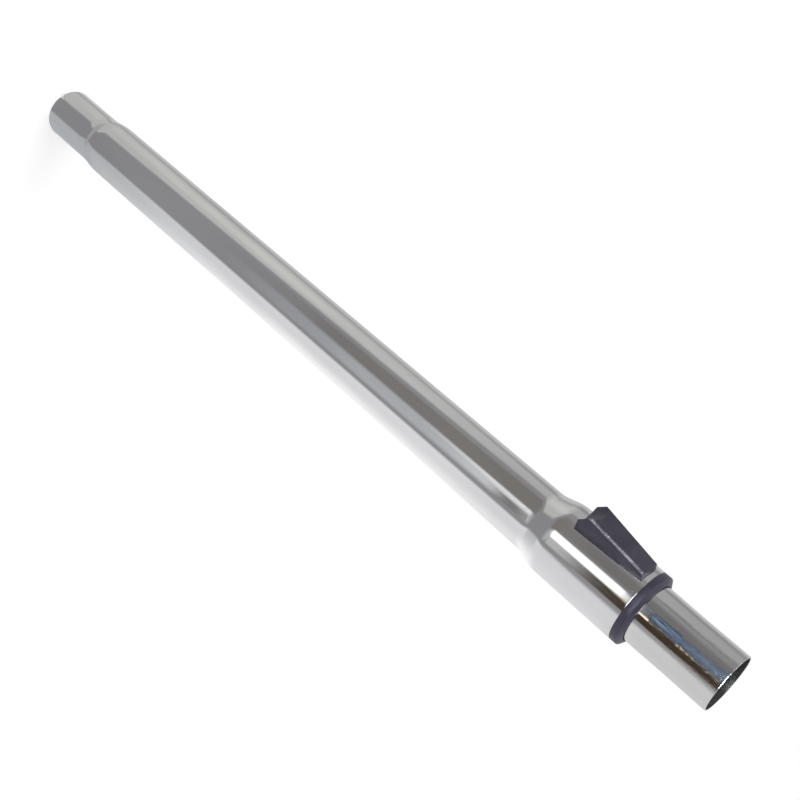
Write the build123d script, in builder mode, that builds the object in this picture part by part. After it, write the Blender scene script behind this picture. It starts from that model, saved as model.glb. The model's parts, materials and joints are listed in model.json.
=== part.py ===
from build123d import *

import os
from math import atan2, degrees, hypot, sqrt

# Telescopic vacuum wand, retracted, stood on the rim of its hose cuff. Z runs up the wand's axis,
# from the rim to the open mouth of the sliding tube, and the button faces -Y. Sizes are in
# millimetres.

# Outer tube: swaged hose cuff, long plain tube, and a housing widened round the latch
TUBE_WALL = 0.7
TUBE_OD = 35.0
OUTER_TUBE_LENGTH = 492.5
CUFF_OD = 32.0
CUFF_LENGTH = 35.0
CUFF_FLARE_LENGTH = 17.0
HOUSING_LENGTH = 51.0
SHOULDER_LENGTH = 11.0
SHOULDER_BEND = 8.0
KEY_NOTCH_WIDTH = 2.7
KEY_NOTCH_DEPTH = 2.7
KEY_NOTCH_ANGLE = 25.0

# Sliding inner tube, with a straight spigot for the nozzle at its mouth
INNER_GAP = 0.5
INNER_REACH = 53.0
SPIGOT_OD = 32.0
SPIGOT_LENGTH = 26.0
SPIGOT_CONE_LENGTH = 16.0
NECK_STEP = 0.8
NECK_CONE_LENGTH = 2.0
KEYWAY_WIDTH = 5.0
KEYWAY_DEPTH = 0.9
KEYWAY_SETBACK = 7.0

# Detents along the inner tube, and the roller that drops into them
DETENT_PITCH = 20.0
ROLLER_DIAMETER = 3.6
ROLLER_LENGTH = 8.8
ROLLER_ENGAGEMENT = 1.2
ROLLER_LIFT = 1.4
ROLLER_SETBACK = 13.5

# Wedge-shaped sliding button
BUTTON_LENGTH = 39.9
BUTTON_TOE_SETBACK = 2.8
BUTTON_TAIL_RISE = 10.2
BUTTON_TOE_RISE = 3.8
BUTTON_TOE_RAKE = 0.8
BUTTON_TAIL_WIDTH = 15.0
BUTTON_TOE_WIDTH = 11.8
BUTTON_WALL = 1.5
BUTTON_EDGE_RADIUS = 0.6
BUTTON_TRAVEL = 2.2
SCOOP_REACH = 5.4
SCOOP_RADIUS = 11.0
SCOOP_LAND = 0.3

# Slider under the housing wall, which the button's legs plug into
SLIDER_LENGTH = 28.0
SLIDER_THICKNESS = 1.6
SLIDER_CHEEK = 2.2
SLIDER_FRONT_LENGTH = 4.0
LEG_LENGTH = 3.0
LEG_WIDTH = 5.0
LEG_SETBACK = 4.0
LEG_WALL = 1.8
WINDOW_MARGIN = 0.6
WINDOW_CORNER = 1.2

# Guide sleeve in the housing
SLEEVE_WALL = 1.5
SLEEVE_REAR_OVERHANG = 0.6
SLEEVE_NOSE_WALL = 2.1
SLEEVE_NOSE_LENGTH = 2.0
SLEEVE_BEAD = 0.3
SLEEVE_BEAD_LENGTH = 0.9
FRONT_LAND_LENGTH = 8.6
REAR_LAND_LENGTH = 10.0
SLEEVE_CHAMFER = 1.5
RIB_WIDTH = 1.6
RIB_COUNT = 9
RIB_STEP = 30.0
RIB_MIDDLE_ANGLE = 270.0
KEY_CLEARANCE = 0.3
KEY_SETBACK = 3.0

# Collar at the end of the housing, and the felt wiper behind its lip
COLLAR_SETBACK = 0.1
COLLAR_BAND_LENGTH = 3.7
COLLAR_NOSE_LENGTH = 1.6
COLLAR_LIP_GAP = 0.4
COLLAR_LIP_LAND = 0.9
WIPER_LENGTH = 1.6
COLLAR_EDGE_CHAMFER = 0.3

# Return springs, one each side of the roller
SPRING_OD = 2.6
SPRING_WIRE = 0.3
SPRING_TURNS = 6
SPRING_WIRE_SIDES = 6
SPRING_EDGE_GAP = 0.3
SPRING_POCKET_GAP = 0.25

# Rear bearing of the inner tube
GLIDE_LENGTH = 16.0
GLIDE_SPLIT = 0.4
PIP_DIAMETER = 3.8
PIP_CLEARANCE = 0.1
SEAL_LENGTH = 4.0
END_RING_LENGTH = 3.0
END_RING_SKIRT = 5.0
END_RING_WALL = 0.7
END_RING_WEB = 1.2

# Clearances
SLIDING_FIT = 0.1
SEATED_FIT = 0.1
MOVING_GAP = 0.3
STOP_GAP = 1.0
REAR_GAP = 4.0

# Radii that follow, from the tubes outwards through the latch to the housing
tube_radius = TUBE_OD / 2
cuff_radius = CUFF_OD / 2
spigot_radius = SPIGOT_OD / 2
tube_bore_radius = tube_radius - TUBE_WALL
inner_radius = tube_bore_radius - INNER_GAP
neck_radius = inner_radius - NECK_STEP
sleeve_bore_radius = inner_radius + SLIDING_FIT
sleeve_body_radius = sleeve_bore_radius + SLEEVE_WALL
sleeve_nose_radius = sleeve_bore_radius + SLEEVE_NOSE_WALL
slider_inside_radius = sleeve_body_radius + SLIDING_FIT
slider_outside_radius = slider_inside_radius + SLIDER_THICKNESS
housing_bore_radius = slider_outside_radius + 2 * SLIDING_FIT
housing_radius = housing_bore_radius + TUBE_WALL
sleeve_land_radius = housing_bore_radius - SEATED_FIT
button_floor_radius = housing_radius + MOVING_GAP
collar_radius = housing_radius - COLLAR_SETBACK

# Widths that follow from the roller
slider_width = ROLLER_LENGTH + 2 * SLIDER_CHEEK
window_width = ROLLER_LENGTH + 2 * WINDOW_MARGIN
spring_offset = slider_width / 2 - SPRING_EDGE_GAP - SPRING_OD / 2

# Heights above the rim of the hose cuff
tube_start_z = CUFF_LENGTH + CUFF_FLARE_LENGTH
housing_end_z = OUTER_TUBE_LENGTH
housing_start_z = housing_end_z - HOUSING_LENGTH
shoulder_start_z = housing_start_z - SHOULDER_LENGTH
mouth_z = housing_end_z + INNER_REACH
sleeve_rear_z = housing_start_z - SLEEVE_REAR_OVERHANG
sleeve_nose_z = housing_end_z + SLEEVE_NOSE_LENGTH
front_land_z = housing_end_z - FRONT_LAND_LENGTH
rear_land_z = sleeve_rear_z + REAR_LAND_LENGTH
bearing_length = GLIDE_LENGTH + SEAL_LENGTH + END_RING_LENGTH + 2 * SEATED_FIT
bearing_room = sleeve_rear_z - STOP_GAP - bearing_length - REAR_GAP - tube_start_z
detent_steps = int(bearing_room / DETENT_PITCH)
inner_travel = DETENT_PITCH * detent_steps
glide_front_z = sleeve_rear_z - inner_travel - STOP_GAP
glide_rear_z = glide_front_z - GLIDE_LENGTH
seal_rear_z = glide_rear_z - SEATED_FIT - SEAL_LENGTH
end_ring_front_z = seal_rear_z - SEATED_FIT
end_ring_rear_z = end_ring_front_z - END_RING_LENGTH
inner_rear_z = end_ring_rear_z + END_RING_WEB

# Button outline, as places along the wand and distances from its axis
button_toe_z = housing_end_z - BUTTON_TOE_SETBACK
button_tail_z = button_toe_z - BUTTON_LENGTH
scoop_top_z = button_tail_z + SCOOP_REACH
toe_top_z = button_toe_z - BUTTON_TOE_RAKE
tail_height = housing_radius + BUTTON_TAIL_RISE
toe_height = housing_radius + BUTTON_TOE_RISE
scoop_low_height = tail_height - SCOOP_REACH
top_slope = (tail_height - toe_height) / (toe_top_z - scoop_top_z)
scoop_half_chord = BUTTON_TAIL_WIDTH / 2 - SCOOP_LAND
scoop_offset = sqrt(SCOOP_RADIUS**2 - scoop_half_chord**2)
scoop_depth = SCOOP_RADIUS - scoop_offset

# Roller and detents
roller_z = housing_end_z - ROLLER_SETBACK
roller_radius = ROLLER_DIAMETER / 2
roller_height = inner_radius - ROLLER_ENGAGEMENT + roller_radius
detent_radius = roller_radius + MOVING_GAP
detent_half_width = ROLLER_LENGTH / 2 + MOVING_GAP
slider_front_z = roller_z + SLIDER_FRONT_LENGTH
slider_rear_z = slider_front_z - SLIDER_LENGTH
recess_rear_z = roller_z - BUTTON_TRAVEL - roller_radius - SLIDING_FIT
rear_leg_z = slider_rear_z + LEG_SETBACK + LEG_LENGTH / 2
front_leg_z = recess_rear_z - LEG_WALL - SEATED_FIT - LEG_LENGTH / 2
leg_places = (rear_leg_z, front_leg_z)

# In the lengthwise plane x runs up the wand and y towards the button. In the cross plane y points
# to the button. The button plane is seen from in front of the button.
along = Vector(0, 0, 1)
button_direction = Vector(0, -1, 0)
side_direction = along.cross(button_direction)
wand_axis = Axis(origin=Vector(), direction=along)
button_axis = Axis(origin=Vector(), direction=button_direction)
side_axis = Axis(origin=Vector(), direction=side_direction)
lengthwise = Plane(origin=Vector(), x_dir=along, z_dir=side_direction)
crosswise = Plane(origin=Vector(), x_dir=-side_direction, z_dir=along)
button_view = Plane(origin=Vector(), x_dir=along, z_dir=button_direction)


os.makedirs("parts", exist_ok=True)


def s_curve(start, end):
    """Two arcs that leave start and reach end parallel to the wand."""
    middle = ((start[0] + end[0]) / 2, (start[1] + end[1]) / 2)
    TangentArc(start, middle, tangent=(1, 0))
    TangentArc(end, middle, tangent=(-1, 0))


def top_height(z):
    """Distance of the button's sloping top face from the wand's axis."""
    return tail_height - top_slope * (z - scoop_top_z)


def button_plan(inset):
    """Corners of the button's tapered plan, drawn this much smaller all round."""
    tail_half = BUTTON_TAIL_WIDTH / 2 - inset
    toe_half = BUTTON_TOE_WIDTH / 2 - inset
    tail_z = button_tail_z + inset
    toe_z = button_toe_z - inset
    return (tail_z, -tail_half), (toe_z, -toe_half), (toe_z, toe_half), (tail_z, tail_half)


# Outer tube
with BuildPart() as outer_tube:
    with BuildSketch(lengthwise):
        with BuildLine():
            Line((0, cuff_radius), (CUFF_LENGTH, cuff_radius))
            s_curve((CUFF_LENGTH, cuff_radius), (tube_start_z, tube_radius))
            FilletPolyline(
                (tube_start_z, tube_radius),
                (shoulder_start_z, tube_radius),
                (housing_start_z, housing_radius),
                (housing_end_z, housing_radius),
                radius=SHOULDER_BEND,
            )
            Line((housing_end_z, housing_radius), (housing_end_z, housing_bore_radius))
            FilletPolyline(
                (housing_end_z, housing_bore_radius),
                (housing_start_z, housing_bore_radius),
                (shoulder_start_z, tube_bore_radius),
                (tube_start_z, tube_bore_radius),
                radius=SHOULDER_BEND,
            )
            s_curve((CUFF_LENGTH, cuff_radius - TUBE_WALL), (tube_start_z, tube_bore_radius))
            Line((CUFF_LENGTH, cuff_radius - TUBE_WALL), (0, cuff_radius - TUBE_WALL))
            Line((0, cuff_radius - TUBE_WALL), (0, cuff_radius))
        make_face()
    revolve(axis=wand_axis)
    # Latch window under the button
    with BuildSketch(button_view.offset(sleeve_body_radius)):
        window_front_z = slider_front_z - MOVING_GAP
        window_rear_z = slider_rear_z + MOVING_GAP
        with Locations(((window_front_z + window_rear_z) / 2, 0)):
            RectangleRounded(window_front_z - window_rear_z, window_width, WINDOW_CORNER)
    extrude(amount=housing_radius, mode=Mode.SUBTRACT)
    # Key notch in the rim of the cuff
    notch_plane = button_view.rotated((KEY_NOTCH_ANGLE, 0, 0))
    with BuildSketch(notch_plane):
        with Locations((KEY_NOTCH_DEPTH / 2, 0)):
            Rectangle(KEY_NOTCH_DEPTH, KEY_NOTCH_WIDTH)
    extrude(amount=tube_radius, mode=Mode.SUBTRACT)
outer_tube.part.label = "outer_tube"
export_step(outer_tube.part, "parts/outer_tube.step")

# Guide sleeve: a moulded bush with two lands, ribs between them and a key inside the bore
with BuildPart() as guide_sleeve:
    with BuildSketch(lengthwise):
        bead_start_z = sleeve_nose_z - 2 * SLEEVE_BEAD_LENGTH
        bead_end_z = sleeve_nose_z - SLEEVE_BEAD_LENGTH
        with BuildLine():
            Polyline(
                (sleeve_rear_z, sleeve_bore_radius),
                (sleeve_nose_z, sleeve_bore_radius),
                (sleeve_nose_z, sleeve_nose_radius),
                (bead_end_z, sleeve_nose_radius),
                (bead_end_z, sleeve_nose_radius + SLEEVE_BEAD),
                (bead_start_z, sleeve_nose_radius),
                (housing_end_z, sleeve_nose_radius),
                (housing_end_z, sleeve_land_radius),
                (front_land_z, sleeve_land_radius),
                (front_land_z, sleeve_body_radius),
                (rear_land_z, sleeve_body_radius),
                (rear_land_z, sleeve_land_radius),
                (sleeve_rear_z + SLEEVE_CHAMFER, sleeve_land_radius),
                (sleeve_rear_z, sleeve_land_radius - SLEEVE_CHAMFER),
                close=True,
            )
        make_face()
    revolve(axis=wand_axis)
    # Ribs between the lands, clear of the slider
    with BuildSketch(crosswise.offset(rear_land_z)):
        rib_middle = (sleeve_body_radius - SLEEVE_WALL / 2 + sleeve_land_radius) / 2
        rib_height = sleeve_land_radius - sleeve_body_radius + SLEEVE_WALL / 2
        rib_spread = RIB_STEP * (RIB_COUNT - 1)
        rib_start = RIB_MIDDLE_ANGLE - rib_spread / 2
        with PolarLocations(rib_middle, RIB_COUNT, rib_start, rib_spread, endpoint=True):
            Rectangle(rib_height, RIB_WIDTH)
    extrude(amount=front_land_z - rear_land_z)
    # Channel for the slider, cut through the lands
    channel_rear_z = slider_rear_z - STOP_GAP
    channel_front_z = slider_front_z + BUTTON_TRAVEL + MOVING_GAP
    with BuildSketch(crosswise.offset(channel_rear_z)):
        channel_height = sleeve_land_radius
        Circle(housing_radius)
        Circle(sleeve_body_radius, mode=Mode.SUBTRACT)
        with Locations((0, channel_height)):
            Rectangle(slider_width + 2 * MOVING_GAP, channel_height, mode=Mode.INTERSECT)
    extrude(amount=channel_front_z - channel_rear_z, mode=Mode.SUBTRACT)
    # Slot that holds the roller fore and aft
    with BuildSketch(button_view):
        with Locations((roller_z, 0)):
            Rectangle(ROLLER_DIAMETER + 2 * SLIDING_FIT, ROLLER_LENGTH + 2 * SLIDING_FIT)
    extrude(amount=housing_radius, mode=Mode.SUBTRACT)
    # Pockets for the return springs
    spring_radius_at = slider_outside_radius - SPRING_OD / 2
    spring_height = sqrt(spring_radius_at**2 - spring_offset**2)
    spring_end_z = housing_end_z - SLEEVE_CHAMFER
    with BuildSketch(crosswise.offset(spring_end_z)):
        with Locations((-spring_offset, spring_height), (spring_offset, spring_height)):
            Circle(SPRING_OD / 2 + SPRING_POCKET_GAP)
    extrude(amount=slider_front_z - spring_end_z, mode=Mode.SUBTRACT)
    # Key that runs in the inner tube's keyway
    key_height = KEYWAY_DEPTH - KEY_CLEARANCE
    with BuildSketch(crosswise.offset(sleeve_rear_z)):
        with Locations((0, -sleeve_bore_radius)):
            Rectangle(KEYWAY_WIDTH - 2 * KEY_CLEARANCE, 2 * key_height)
    extrude(amount=front_land_z - KEY_SETBACK - sleeve_rear_z)
guide_sleeve.part.label = "guide_sleeve"
export_step(guide_sleeve.part, "parts/guide_sleeve.step")

# Collar that closes the end of the housing
with BuildPart() as collar_ring:
    with BuildSketch(lengthwise):
        collar_front_z = housing_end_z + COLLAR_BAND_LENGTH
        nose_z = collar_front_z + COLLAR_NOSE_LENGTH
        socket_radius = sleeve_nose_radius + SEATED_FIT
        socket_end_z = sleeve_nose_z + SEATED_FIT + WIPER_LENGTH
        lip_radius = inner_radius + COLLAR_LIP_GAP
        groove_start_z = bead_start_z - SEATED_FIT
        groove_end_z = bead_end_z + SEATED_FIT
        with BuildLine():
            Polyline(
                (housing_end_z, collar_radius),
                (collar_front_z, collar_radius),
                (nose_z, lip_radius + COLLAR_LIP_LAND),
                (nose_z, lip_radius),
                (socket_end_z, lip_radius),
                (socket_end_z, socket_radius),
                (groove_end_z, socket_radius),
                (groove_end_z, socket_radius + SLEEVE_BEAD),
                (groove_start_z, socket_radius),
                (housing_end_z, socket_radius),
                close=True,
            )
        make_face()
    revolve(axis=wand_axis)
    chamfer(collar_ring.edges().filter_by(GeomType.CIRCLE).group_by(SortBy.RADIUS)[-1], COLLAR_EDGE_CHAMFER)
collar_ring.part.label = "collar_ring"
export_step(collar_ring.part, "parts/collar_ring.step")

# Felt wiper behind the collar's lip
with BuildPart() as wiper_ring:
    with BuildSketch(crosswise.offset(sleeve_nose_z + SEATED_FIT / 2)):
        Circle(sleeve_nose_radius)
        Circle(sleeve_bore_radius, mode=Mode.SUBTRACT)
    extrude(amount=WIPER_LENGTH)
wiper_ring.part.label = "wiper_ring"
export_step(wiper_ring.part, "parts/wiper_ring.step")

# Hollow of the button, one wall inside its outline and clear of the thumb scoop
scoop_shift = scoop_depth * sqrt(2)
with BuildPart() as button_hollow:
    with BuildSketch(button_view):
        Polygon(*button_plan(BUTTON_WALL), align=None)
    extrude(amount=tail_height)
    with BuildSketch(lengthwise):
        hollow_top_z = scoop_top_z + scoop_shift
        with BuildLine():
            Polyline(
                (button_tail_z, 0),
                (button_tail_z, scoop_low_height - scoop_shift),
                (hollow_top_z, top_height(hollow_top_z)),
                (toe_top_z, toe_height),
                (button_toe_z, housing_radius),
                (button_toe_z, 0),
                close=True,
            )
        make_face()
        offset(amount=-BUTTON_WALL, kind=Kind.INTERSECTION)
    extrude(amount=BUTTON_TAIL_WIDTH, both=True, mode=Mode.INTERSECT)

# Release button: a hollow wedge with a thumb scoop at its tall end
with BuildPart() as release_button:
    with BuildSketch(button_view):
        Polygon(*button_plan(0), align=None)
    extrude(amount=2 * tail_height)
    with BuildSketch(lengthwise):
        with BuildLine():
            Polyline(
                (button_tail_z, 0),
                (button_tail_z, scoop_low_height),
                (scoop_top_z, tail_height),
                (toe_top_z, toe_height),
                (button_toe_z, housing_radius),
                (button_toe_z, 0),
                close=True,
            )
        make_face()
    extrude(amount=BUTTON_TAIL_WIDTH, both=True, mode=Mode.INTERSECT)
    top_face = release_button.faces().sort_by(button_axis)[-1]
    fillet(top_face.edges().filter_by(side_axis, reverse=True), BUTTON_EDGE_RADIUS)
    # Thumb scoop: part of a cylinder that lies along the bevelled tail
    scoop_middle_z = button_tail_z + SCOOP_REACH / 2 - scoop_offset / sqrt(2)
    scoop_middle_height = tail_height - SCOOP_REACH / 2 + scoop_offset / sqrt(2)
    scoop_plane = Plane(
        origin=lengthwise.from_local_coords((scoop_middle_z, scoop_middle_height)),
        x_dir=side_direction,
        z_dir=along + button_direction,
    )
    with BuildSketch(scoop_plane):
        Circle(SCOOP_RADIUS)
    extrude(amount=BUTTON_LENGTH, both=True, mode=Mode.SUBTRACT)
    add(button_hollow.part, mode=Mode.SUBTRACT)
    # Underside, curved to run over the housing
    with BuildSketch(crosswise.offset(button_tail_z)):
        Circle(button_floor_radius)
    extrude(amount=BUTTON_LENGTH, mode=Mode.SUBTRACT)
    # Legs that plug into the slider
    leg_foot = slider_inside_radius + MOVING_GAP
    for z in leg_places:
        with BuildSketch(button_view.offset(leg_foot)):
            with Locations((z, 0)):
                Rectangle(LEG_LENGTH, LEG_WIDTH)
        extrude(amount=top_height(z) - BUTTON_WALL / 2 - leg_foot)
release_button.part.label = "release_button"
export_step(release_button.part, "parts/release_button.step")

# Latch slider: an arched plate under the housing wall
with BuildPart() as latch_slider:
    with BuildSketch(crosswise.offset(slider_rear_z)):
        Circle(slider_outside_radius)
        Circle(slider_inside_radius, mode=Mode.SUBTRACT)
        with Locations((0, slider_outside_radius)):
            Rectangle(slider_width, slider_outside_radius, mode=Mode.INTERSECT)
    extrude(amount=SLIDER_LENGTH)
    # Sockets for the button's legs
    with BuildSketch(button_view):
        with Locations(*[(z, 0) for z in leg_places]):
            Rectangle(LEG_LENGTH + 2 * SEATED_FIT, LEG_WIDTH + 2 * SEATED_FIT)
    extrude(amount=housing_radius, mode=Mode.SUBTRACT)
    # Oblique recess: its low end locks the roller down, its high end lets it rise
    with BuildSketch(lengthwise):
        recess_length = hypot(BUTTON_TRAVEL, ROLLER_LIFT)
        recess_angle = degrees(atan2(ROLLER_LIFT, -BUTTON_TRAVEL))
        recess_middle = (roller_z - BUTTON_TRAVEL / 2, roller_height + ROLLER_LIFT / 2)
        with Locations(Location(recess_middle, recess_angle)):
            SlotCenterToCenter(recess_length, ROLLER_DIAMETER + 2 * SLIDING_FIT)
    extrude(amount=ROLLER_LENGTH / 2 + MOVING_GAP, both=True, mode=Mode.SUBTRACT)
latch_slider.part.label = "latch_slider"
export_step(latch_slider.part, "parts/latch_slider.step")

# Locking roller
with BuildPart() as locking_roller:
    with BuildSketch(lengthwise):
        with Locations((roller_z, roller_height)):
            Circle(roller_radius)
    extrude(amount=ROLLER_LENGTH / 2, both=True)
locking_roller.part.label = "locking_roller"
export_step(locking_roller.part, "parts/locking_roller.step")

# Pressed dimples of the inner tube, one wall thicker all round than their hollows
detent_places = [(roller_z - step * DETENT_PITCH, roller_height) for step in range(detent_steps + 1)]
with BuildPart() as detent_bosses:
    with BuildSketch(lengthwise):
        with Locations(*detent_places):
            Circle(detent_radius + TUBE_WALL)
    extrude(amount=detent_half_width + TUBE_WALL, both=True)
    with BuildSketch(crosswise.offset(glide_front_z)):
        Circle(inner_radius)
    extrude(amount=mouth_z - glide_front_z, mode=Mode.INTERSECT)

# Inner tube: plain body, straight spigot at the mouth and a reduced neck for the rear bearing
with BuildPart() as inner_tube:
    with BuildSketch(lengthwise):
        neck_end_z = glide_front_z
        body_start_z = neck_end_z + NECK_CONE_LENGTH
        spigot_z = mouth_z - SPIGOT_LENGTH
        body_end_z = spigot_z - SPIGOT_CONE_LENGTH
        with BuildLine():
            Polyline(
                (inner_rear_z, neck_radius),
                (neck_end_z, neck_radius),
                (body_start_z, inner_radius),
                (body_end_z, inner_radius),
                (spigot_z, spigot_radius),
                (mouth_z, spigot_radius),
                (mouth_z, spigot_radius - TUBE_WALL),
                (spigot_z, spigot_radius - TUBE_WALL),
                (body_end_z, inner_radius - TUBE_WALL),
                (body_start_z, inner_radius - TUBE_WALL),
                (neck_end_z, neck_radius - TUBE_WALL),
                (inner_rear_z, neck_radius - TUBE_WALL),
                close=True,
            )
        make_face()
    revolve(axis=wand_axis)
    add(detent_bosses.part)
    # Keyway opposite the detents, pressed in from behind the collar to the neck
    keyway_end_z = front_land_z - KEY_SETBACK + KEYWAY_SETBACK
    keyway_floor = inner_radius - KEYWAY_DEPTH
    with BuildSketch(crosswise.offset(body_start_z - NECK_CONE_LENGTH)):
        with Locations((0, -keyway_floor + TUBE_WALL / 2)):
            Rectangle(KEYWAY_WIDTH + 2 * TUBE_WALL, TUBE_WALL)
    extrude(amount=keyway_end_z + TUBE_WALL - body_start_z + NECK_CONE_LENGTH)
    with BuildSketch(crosswise.offset(neck_end_z)):
        with Locations((0, -keyway_floor - KEYWAY_DEPTH)):
            Rectangle(KEYWAY_WIDTH, 2 * KEYWAY_DEPTH)
    extrude(amount=keyway_end_z - neck_end_z, mode=Mode.SUBTRACT)
    # Detents
    with BuildSketch(lengthwise):
        with Locations(*detent_places):
            Circle(detent_radius)
    extrude(amount=detent_half_width, both=True, mode=Mode.SUBTRACT)
    # Holes for the pips of the glide shells
    with BuildSketch(lengthwise):
        pip_z = glide_front_z - GLIDE_LENGTH / 2
        with Locations((pip_z, 0)):
            Circle(PIP_DIAMETER / 2 + PIP_CLEARANCE)
    extrude(amount=tube_radius, both=True, mode=Mode.SUBTRACT)
inner_tube.part.label = "inner_tube"
export_step(inner_tube.part, "parts/inner_tube.step")

# Glide shells: two half rings round the neck, each with a pip in its hole
glide_radius = tube_bore_radius - SLIDING_FIT
for name, turn in (("glide_shell_right", 1), ("glide_shell_left", -1)):
    with BuildPart() as glide_shell:
        with BuildSketch(crosswise.offset(glide_rear_z)):
            Circle(glide_radius)
            Circle(neck_radius, mode=Mode.SUBTRACT)
            with Locations((-turn * (GLIDE_SPLIT / 2 + tube_radius / 2), 0)):
                Rectangle(tube_radius, TUBE_OD, mode=Mode.INTERSECT)
        extrude(amount=GLIDE_LENGTH)
        with BuildSketch(lengthwise.offset(turn * (neck_radius - TUBE_WALL))):
            with Locations((pip_z, 0)):
                Circle(PIP_DIAMETER / 2)
        extrude(amount=turn * (TUBE_WALL + (glide_radius - neck_radius) / 2))
    glide_shell.part.label = name
    export_step(glide_shell.part, f"parts/{name}.step")

# Rear seal
with BuildPart() as seal_ring:
    with BuildSketch(crosswise.offset(seal_rear_z)):
        Circle(glide_radius)
        Circle(neck_radius, mode=Mode.SUBTRACT)
    extrude(amount=SEAL_LENGTH)
seal_ring.part.label = "seal_ring"
export_step(seal_ring.part, "parts/seal_ring.step")

# End ring, plugged into the rear of the inner tube
with BuildPart() as end_ring:
    with BuildSketch(lengthwise):
        ring_outside_radius = glide_radius - MOVING_GAP
        skirt_radius = neck_radius - TUBE_WALL - SEATED_FIT
        skirt_bore_radius = skirt_radius - END_RING_WALL
        with BuildLine():
            Polyline(
                (end_ring_front_z, neck_radius),
                (end_ring_front_z, ring_outside_radius),
                (end_ring_rear_z, ring_outside_radius),
                (end_ring_rear_z, skirt_bore_radius),
                (inner_rear_z + END_RING_SKIRT, skirt_bore_radius),
                (inner_rear_z + END_RING_SKIRT, skirt_radius),
                (inner_rear_z, skirt_radius),
                (inner_rear_z, neck_radius),
                close=True,
            )
        make_face()
    revolve(axis=wand_axis)
end_ring.part.label = "end_ring"
export_step(end_ring.part, "parts/end_ring.step")

# Return springs between the slider and the sleeve, their wire drawn with few sides
for name, side in (("return_spring_left", 1), ("return_spring_right", -1)):
    spring_length = spring_end_z - slider_front_z
    coil_radius = (SPRING_OD - SPRING_WIRE) / 2
    spring_origin = crosswise.offset(slider_front_z + SPRING_WIRE / 2)
    spring_origin = spring_origin.from_local_coords((side * spring_offset, spring_height))
    helix_height = spring_length - SPRING_WIRE
    with BuildPart() as return_spring:
        with BuildLine():
            coil = Helix(helix_height / SPRING_TURNS, helix_height, coil_radius, spring_origin, along)
        with BuildSketch(Plane(origin=coil @ 0, z_dir=coil % 0)):
            RegularPolygon(SPRING_WIRE / 2, SPRING_WIRE_SIDES)
        sweep(path=coil, is_frenet=True)
    return_spring.part.label = name
    export_step(return_spring.part, f"parts/{name}.step")
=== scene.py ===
"""Looks of a telescopic vacuum wand: two chromed tubes, a dark release button and a dark collar.

The wand stands on the rim of its hose cuff. Z runs up its axis to the open mouth, and the button
faces -Y. Sizes are in metres.
"""

import json
import logging
from dataclasses import dataclass, field
from enum import Enum, IntEnum
from math import asin, cos, hypot, pi, radians, sin, sqrt, tan, tau
from typing import Any

import bmesh
import bpy
from mathutils import Matrix, Vector


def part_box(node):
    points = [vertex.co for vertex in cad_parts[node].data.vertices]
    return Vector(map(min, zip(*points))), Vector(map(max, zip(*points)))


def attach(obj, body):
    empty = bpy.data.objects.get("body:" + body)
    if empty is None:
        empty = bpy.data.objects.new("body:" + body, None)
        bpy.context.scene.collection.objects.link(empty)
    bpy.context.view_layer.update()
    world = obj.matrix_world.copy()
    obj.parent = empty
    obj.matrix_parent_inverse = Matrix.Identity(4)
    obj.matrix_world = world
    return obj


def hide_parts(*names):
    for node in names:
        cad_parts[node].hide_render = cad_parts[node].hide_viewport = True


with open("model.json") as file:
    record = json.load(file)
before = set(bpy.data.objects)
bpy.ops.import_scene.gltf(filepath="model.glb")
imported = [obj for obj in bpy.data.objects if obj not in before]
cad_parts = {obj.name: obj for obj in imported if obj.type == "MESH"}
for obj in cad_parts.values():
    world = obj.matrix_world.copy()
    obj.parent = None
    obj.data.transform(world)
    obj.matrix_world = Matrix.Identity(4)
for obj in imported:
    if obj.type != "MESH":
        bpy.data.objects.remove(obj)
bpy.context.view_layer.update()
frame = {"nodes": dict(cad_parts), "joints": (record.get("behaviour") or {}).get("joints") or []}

LOG = logging.getLogger("wand")
MM = 0.001
# How close two places have to be to count as one: when points merge, when a plane cuts, and when
# heights or radii are told apart.
MERGE_GAP = 0.001 * MM
CUT_GAP = 0.0001 * MM
LEVEL_GAP = 0.01 * MM
# Steps along a quarter turn of a window's corner, and how many gaps long a run is that gets held.
CORNER_STEPS = 4
LONG_RUN = 5
# A face whose direction and the way out from the axis have a cosine below this looks inwards.
INWARDS = -0.5
# Sockets of the Mix node when it mixes colours. Their names are used more than once in it.
MIX_SHARE, MIX_FIRST, MIX_SECOND, MIX_RESULT = 0, 6, 7, 2
AXIS = Vector((0, 0, 1))
BUTTON_SIDE = Vector((0, -1, 0))
RIGHT_SIDE = Vector((1, 0, 0))

Colour = tuple[float, float, float]
Stretch = tuple[float, float, float]
Point = tuple[float, float]
Range = tuple[float, float]


class Slot(Enum):
    """Names of two material slots of the record."""

    CHROMED_TUBE = "chromed_tube"
    DARK_PLASTIC = "dark_plastic"


class Body(Enum):
    """Bodies that the new pieces move with."""

    OUTER = "outer"
    INNER = "inner"
    BUTTON = "button"


class Corner(IntEnum):
    """Corners of the button's side view, in their order."""

    TAIL_FOOT = 0
    SCOOP_LOW = 1
    SCOOP_HIGH = 2
    TOE_TOP = 3
    TOE_FOOT = 4


@dataclass(frozen=True)
class Pattern:
    """A noise pattern.

    Its scale counts the lumps in one unit of length, and its detail adds finer ones. Places are
    multiplied by its stretch, so that a small number draws the lumps out along that axis.
    """

    scale: float
    detail: float
    stretch: Stretch = (1, 1, 1)


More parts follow.
